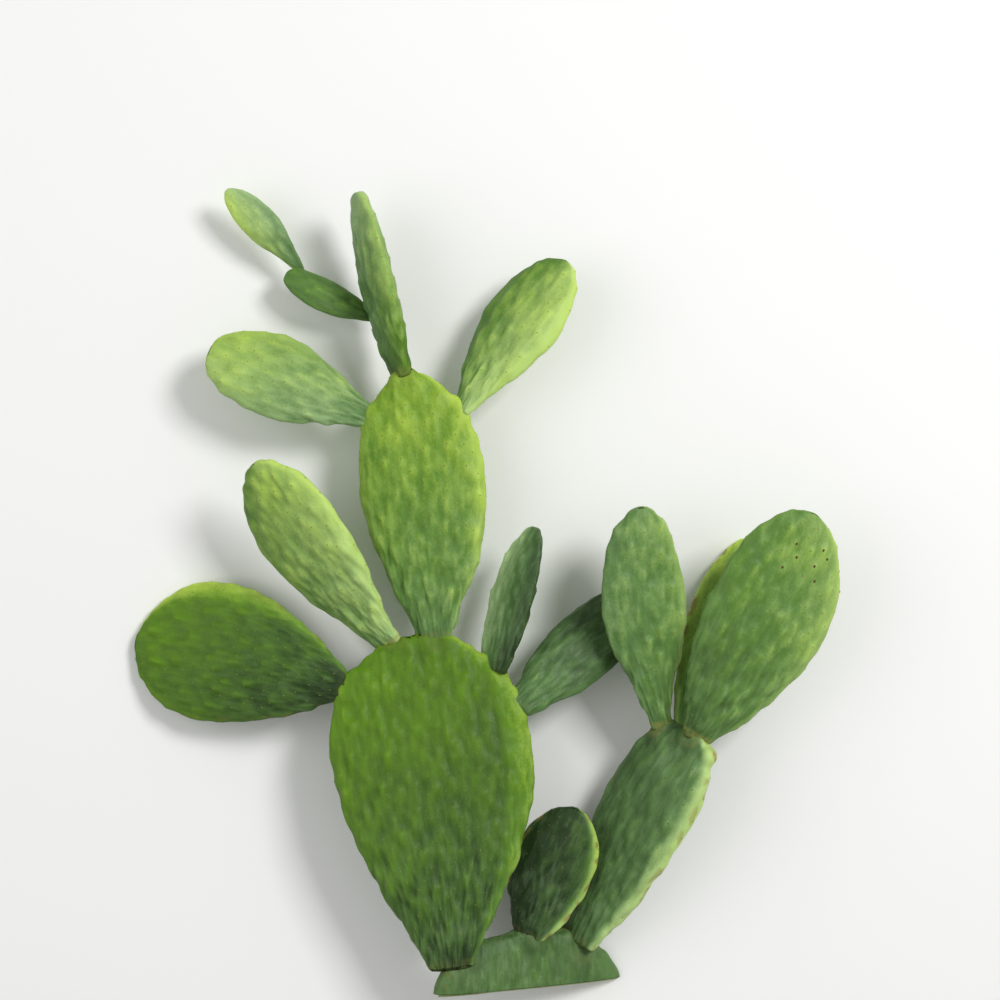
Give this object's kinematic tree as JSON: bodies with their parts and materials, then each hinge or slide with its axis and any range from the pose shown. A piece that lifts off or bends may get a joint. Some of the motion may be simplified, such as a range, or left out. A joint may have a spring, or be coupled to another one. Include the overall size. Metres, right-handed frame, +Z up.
{
  "type": "prickly pear cactus branch",
  "caption": "Cut branch of a spineless prickly pear: flat oval pads growing from each other's margins, lying down on its back with the cut end of the parent pad.",
  "frame": {"origin": "on the surface that the branch lies on, under the middle of its outline", "axes": "+Z up from the surface, +Y from the cut end towards the growing tips, +X to the right seen from above"},
  "size_m": [0.5691, 0.6427, 0.0929],
  "materials": {
    "young_skin": "waxy skin of a young pad, yellow-green, satin",
    "mature_skin": "waxy skin of a full-grown pad, mid green, satin",
    "old_skin": "waxy skin of an old pad, dark green, satin",
    "old_skin_and_cut_flesh": "dark green waxy skin with a pale, drying cut across the flesh"
  },
  "bodies": {
    "root": {"parent_pad_stub": "old_skin_and_cut_flesh", "pad_main": "mature_skin", "pad_main_upper": "mature_skin", "pad_left_low": "mature_skin", "pad_left_mid": "mature_skin", "pad_top_left": "young_skin", "pad_top_edge": "mature_skin", "pad_far_small": "mature_skin", "pad_far_tip": "young_skin", "pad_top_right": "young_skin", "pad_centre_edge": "mature_skin", "pad_centre_back": "old_skin", "pad_right_main": "old_skin", "pad_right_tall": "mature_skin", "pad_right_back": "mature_skin", "pad_right_big": "mature_skin", "pad_low_dark": "old_skin"}
  },
  "joints": []
}
